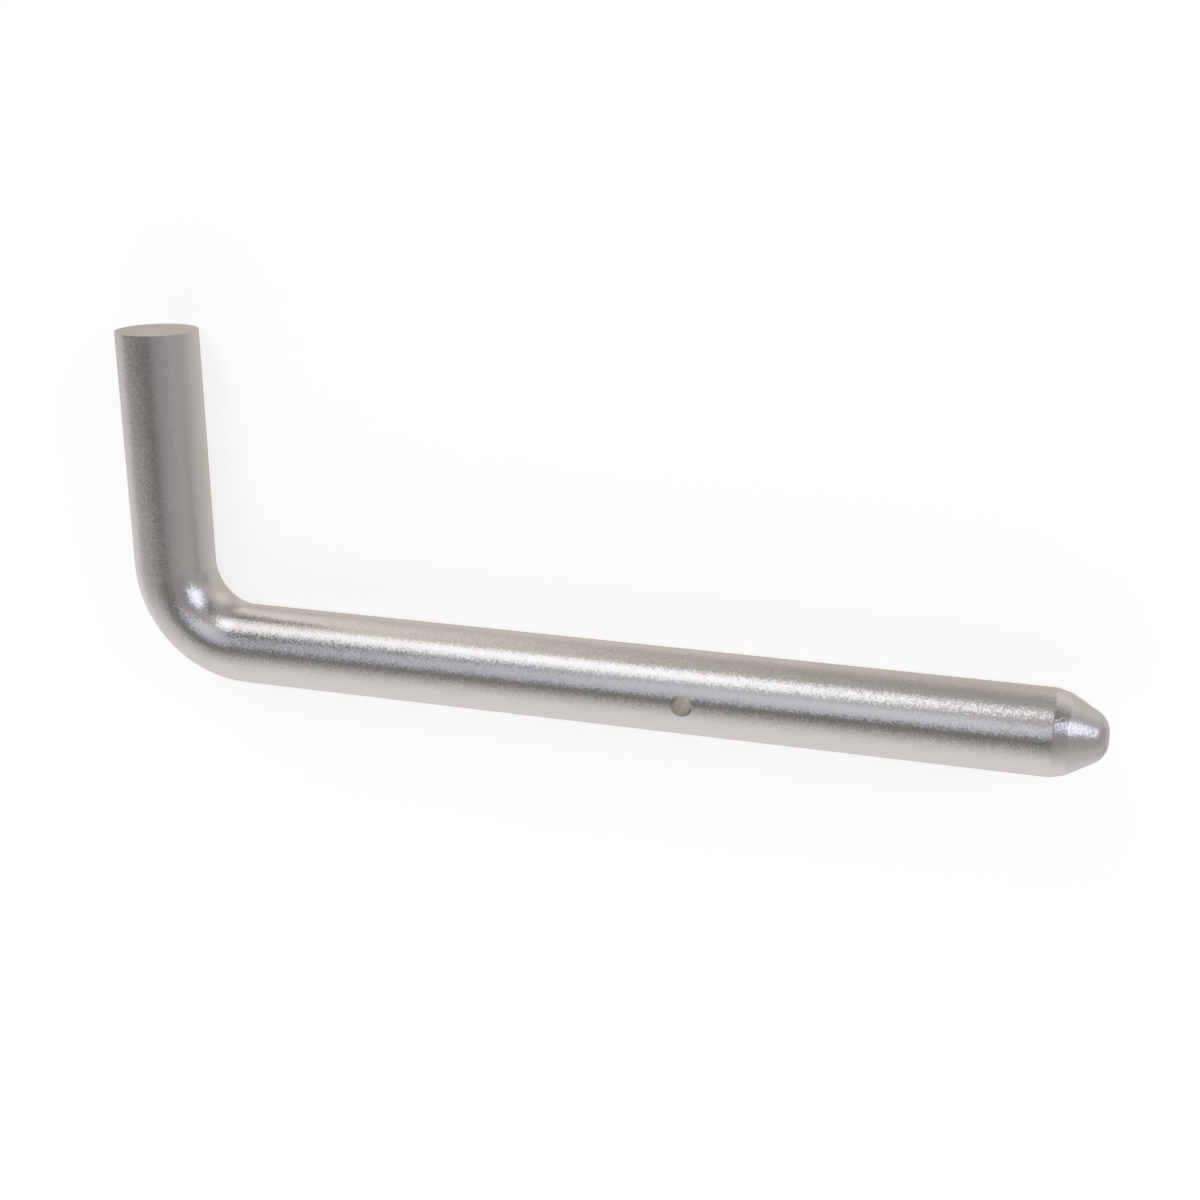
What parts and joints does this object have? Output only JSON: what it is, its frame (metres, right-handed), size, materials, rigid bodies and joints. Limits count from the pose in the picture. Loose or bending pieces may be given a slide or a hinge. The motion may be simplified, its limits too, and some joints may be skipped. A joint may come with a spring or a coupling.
{
  "type": "bent pin",
  "caption": "Round steel bar bent square into a short handle, with a tapered round nose and a cross hole for a clip.",
  "frame": {"origin": "on the shank's axis, where the bend ends and the straight shank begins", "axes": "+X along the shank to the tip, +Y up the handle to its flat end, +Z along the cross hole; the pin lies flat on the plane z = -8 mm"},
  "size_m": [0.192, 0.071, 0.016],
  "materials": {
    "steel": "satin"
  },
  "bodies": {
    "root": {"bent_pin": "steel"}
  },
  "joints": []
}
